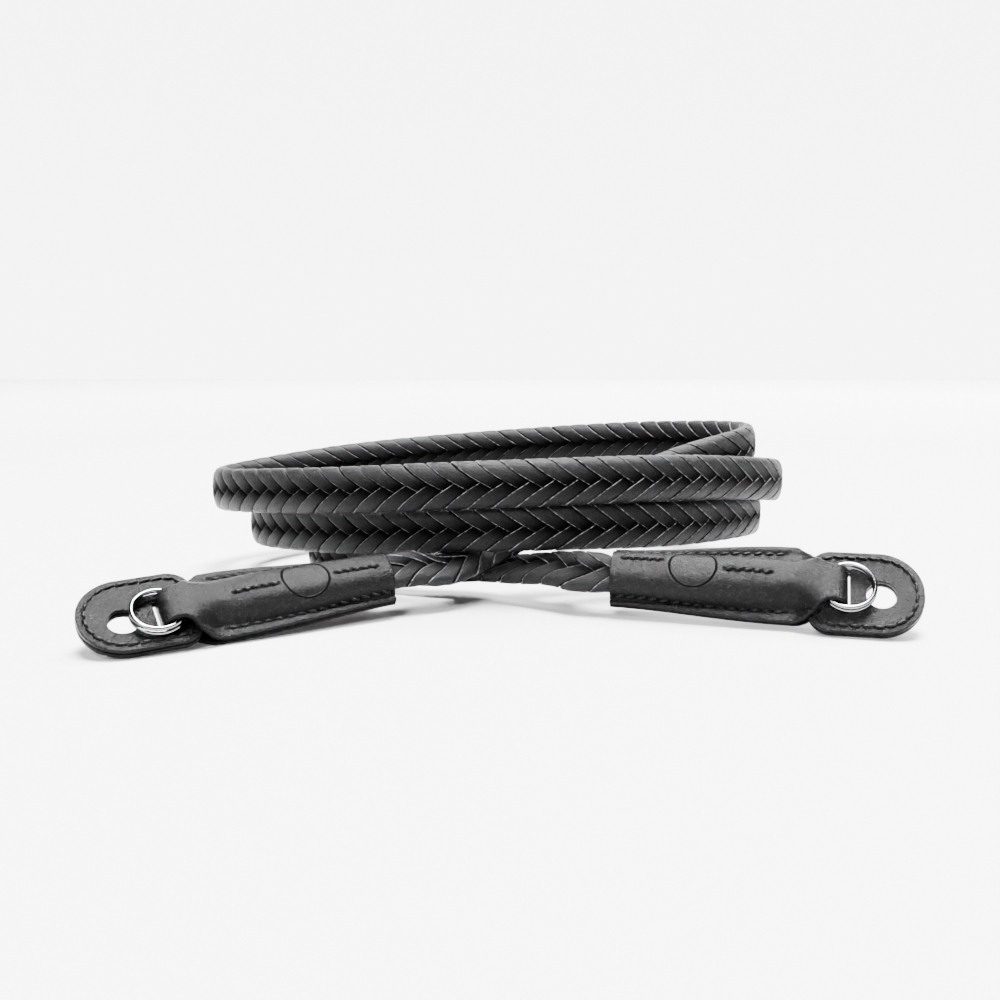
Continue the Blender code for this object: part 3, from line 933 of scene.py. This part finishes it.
def blended(tree, way, first, second):
    """Two colours blended in full."""
    made = tree.nodes.new("ShaderNodeMixRGB")
    made.blend_type = way
    made.inputs["Fac"].default_value = 1.0
    tree.links.new(first, made.inputs["Color1"])
    tree.links.new(second, made.inputs["Color2"])
    return made.outputs["Color"]


def mark(tree, name):
    """A mark that the mesh carries for its material."""
    made = tree.nodes.new("ShaderNodeAttribute")
    made.attribute_name = name
    return made.outputs["Fac"]


def leather(name, dark, light, rough, cell_size, strength, gloss, lined=False):
    """Black leather: grain with lighter crests, painted shade in hollows, painted edge highlights, and
    lines along strands.
    """
    material, tree, shader = new_material(name)
    coords = tree.nodes.new("ShaderNodeTexCoord")
    place = coords.outputs["Object"]
    cells = node(tree, "ShaderNodeTexVoronoi", Vector=place, Scale=1 / cell_size)
    noise = "ShaderNodeTexNoise"
    fine = node(tree, noise, Vector=place, Scale=1.7 / cell_size, Detail=4.0, Roughness=0.6)
    patches = node(tree, noise, Vector=place, Scale=0.35 / cell_size, Detail=2.0)
    height = joined(tree, "MULTIPLY_ADD", cells.outputs["Distance"], 0.8, fine.outputs["Fac"])
    second = patches.outputs["Fac"]
    if lined:
        along = node(tree, "ShaderNodeMapping", Vector=coords.outputs["UV"], Scale=(15.0, 4.0, 1.0))
        lines = node(tree, noise, Vector=along.outputs["Vector"], Scale=1.0, Detail=4.0)
        second = lines.outputs["Fac"]
        height = joined(tree, "ADD", height, second)
    ring = ramp(tree, mark(tree, "press"), [(0.468, 0.0), (0.484, 1.0), (0.512, 1.0), (0.528, 0.0)])
    height = joined(tree, "MULTIPLY_ADD", ring, -1.5, height)
    depth = cell_size * 0.42
    grain = node(tree, "ShaderNodeBump", Strength=strength, Distance=depth, Height=height)
    tree.links.new(grain.outputs["Normal"], shader.inputs["Normal"])
    speck = joined(tree, "MULTIPLY", fine.outputs["Fac"], second)
    colour = ramp(tree, speck, [(0.20, dark), (0.30, light), (0.42, tuple(4 * tone for tone in light))])
    # Painted shade: grooves, needle holes, the pressed ring's line, strand dives, cut edges and the
    # inner face turn near black, rough and barely glossy; on strands the mark also holds each strand's
    # random tone
    painted_shade_and_tone = joined(tree, "MAXIMUM", mark(tree, "shade"), ring)
    colour = mixed(tree, painted_shade_and_tone, colour, 0.0003)
    # Painted highlight: a lighter, mottled tone along the strands' raised cut edges
    painted_highlight_stops = [(0.40, (0.010, 0.010, 0.011)), (0.62, (0.13, 0.13, 0.135))]
    painted_highlight_tone = ramp(tree, patches.outputs["Fac"], painted_highlight_stops)
    tree.links.new(mixed(tree, mark(tree, "painted_highlight"), colour, painted_highlight_tone), shader.inputs["Base Color"])
    dullness = ramp(tree, speck, [(0.14, rough[1]), (0.36, rough[0])])
    tree.links.new(mixed(tree, painted_shade_and_tone, dullness, 0.60), shader.inputs["Roughness"])
    shine = ramp(tree, painted_shade_and_tone, [(0.0, gloss), (1.0, 0.01)])
    tree.links.new(shine, shader.inputs["Specular IOR Level"])
    return material


def steel():
    """Polished ring steel with faint drawn marks."""
    material, tree, shader = new_material("ring_steel")
    place = tree.nodes.new("ShaderNodeTexCoord").outputs["Object"]
    marks = node(tree, "ShaderNodeTexNoise", Vector=place, Scale=1800.0, Detail=3.0)
    rough = ramp(tree, marks.outputs["Fac"], [(0.3, 0.08), (0.7, 0.20)])
    tree.links.new(rough, shader.inputs["Roughness"])
    tint = ramp(tree, marks.outputs["Fac"], [(0.3, (0.12, 0.12, 0.125)), (0.7, (0.20, 0.20, 0.205))])
    tree.links.new(tint, shader.inputs["Base Color"])
    shader.inputs["Metallic"].default_value = 1.0
    return material


def build_pieces():
    """Makes everything that stands for the CAD nodes."""
    black, ink = (0.0005, 0.0005, 0.0005), (0.0010, 0.0010, 0.0011)
    pitch, soot = (0.0017, 0.0017, 0.0018), (0.0040, 0.0040, 0.0043)
    strand = leather(
        "strand_leather", ink, soot, (0.24, 0.40),
        cell_size=0.00030, strength=1.0, gloss=0.125, lined=True,
    )
    # The braid's inside: black, rough and barely glossy, as painted shade between the strands
    dark = leather(
        "braid_inside_painted_shade", black, black, (0.70, 0.80),
        cell_size=0.00050, strength=0.3, gloss=0.05,
    )
    smooth = leather(
        "smooth_leather", black, pitch, (0.15, 0.28),
        cell_size=0.00036, strength=1.0, gloss=0.078,
    )
    thread = leather(
        "thread", black, pitch, (0.20, 0.34),
        cell_size=0.00020, strength=0.6, gloss=0.09,
    )
    metal = steel()
    route = braid_frames()
    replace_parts(build_strands(route, strand), "braided_strap")
    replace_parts(build_core(route[1], dark), "braided_strap")
    for side, tab in TABS.items():
        back_height = FLAP_BACK_FACE + FLAP_LAYER / 2
        face_height = FLAP_FACE - FLAP_LAYER / 2
        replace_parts(build_sleeve(side, tab, smooth), f"sleeve_{side}")
        under = build_flap_layer(f"flap_under_{side}", tab, back_height, smooth)
        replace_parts(under, f"flap_back_{side}")
        upper = build_flap_layer(f"flap_upper_{side}", tab, face_height, smooth)
        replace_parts(upper, f"flap_face_{side}")
        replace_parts(build_ring(side, tab, metal), f"split_ring_{side}")
        build_stitches(side, tab, thread)


def build_sky():
    """A studio all round: white behind the strap, pale low down, dark overhead and in front."""
    world = bpy.context.scene.world or bpy.data.worlds.new("studio")
    bpy.context.scene.world = world
    world.use_nodes = True
    tree = world.node_tree
    way = tree.nodes.new("ShaderNodeTexCoord")
    parts = tree.nodes.new("ShaderNodeSeparateXYZ")
    tree.links.new(way.outputs["Generated"], parts.inputs[0])
    tone = ramp(tree, parts.outputs["Z"], [(0.0, 1.0), (0.28, 0.95), (0.50, 0.14), (1.0, 0.08)])
    rear = ramp(tree, parts.outputs["Y"], [(0.0, 0.03), (0.62, 0.06), (0.86, 1.0)])
    both = blended(tree, "MULTIPLY", tone, rear)
    low = ramp(tree, parts.outputs["Z"], [(0.0, 0.45), (0.12, 0.36), (0.26, 0.0)])
    whole = blended(tree, "LIGHTEN", both, low)
    background = tree.nodes["Background"]
    tree.links.new(whole, background.inputs["Color"])
    background.inputs["Strength"].default_value = SKY_STRENGTH


def build_floor():
    """A pale floor, a little paler far away, where less light falls on it."""
    mesh = bpy.data.meshes.new("floor")
    mesh.from_pydata(FLOOR_CORNERS, [], [(0, 1, 2, 3)])
    floor = bpy.data.objects.new("floor", mesh)
    bpy.context.scene.collection.objects.link(floor)
    material, tree, shader = new_material("pale_floor")
    away = tree.nodes.new("ShaderNodeVectorMath")
    away.operation = "LENGTH"
    tree.links.new(tree.nodes.new("ShaderNodeTexCoord").outputs["Object"], away.inputs[0])
    tone = ramp(tree, away.outputs["Value"], [(0.45, 0.43), (1.0, 0.62)])
    tree.links.new(tone, shader.inputs["Base Color"])
    shader.inputs["Roughness"].default_value = 0.9
    shader.inputs["Specular IOR Level"].default_value = 0.1
    mesh.materials.append(material)


def build_lights():
    """Soft lights overhead, behind and in front, all turned to the strap."""
    for name, (place, size, power) in LIGHTS.items():
        light = bpy.data.lights.new(name, "AREA")
        light.shape = "RECTANGLE"
        light.size, light.size_y = size
        light.energy = power
        lamp = bpy.data.objects.new(name, light)
        bpy.context.scene.collection.objects.link(lamp)
        lamp.location = place
        way = Vector(LIGHT_TARGET) - lamp.location
        lamp.rotation_euler = way.to_track_quat("-Z", "Y").to_euler()


def build_camera():
    """The camera at the photo's place."""
    data = bpy.data.cameras.new("camera")
    data.sensor_width = 36.0
    data.lens = CAMERA_LENS
    data.clip_start = 0.01
    camera = bpy.data.objects.new("camera", data)
    bpy.context.scene.collection.objects.link(camera)
    camera.location = (COIL_MIDDLE[0], COIL_MIDDLE[1] - CAMERA_BACK, CAMERA_HEIGHT)
    camera.rotation_euler = (math.radians(90 - CAMERA_DIP), 0.0, 0.0)
    bpy.context.scene.camera = camera


build_pieces()
build_floor()
build_sky()
build_lights()
build_camera()
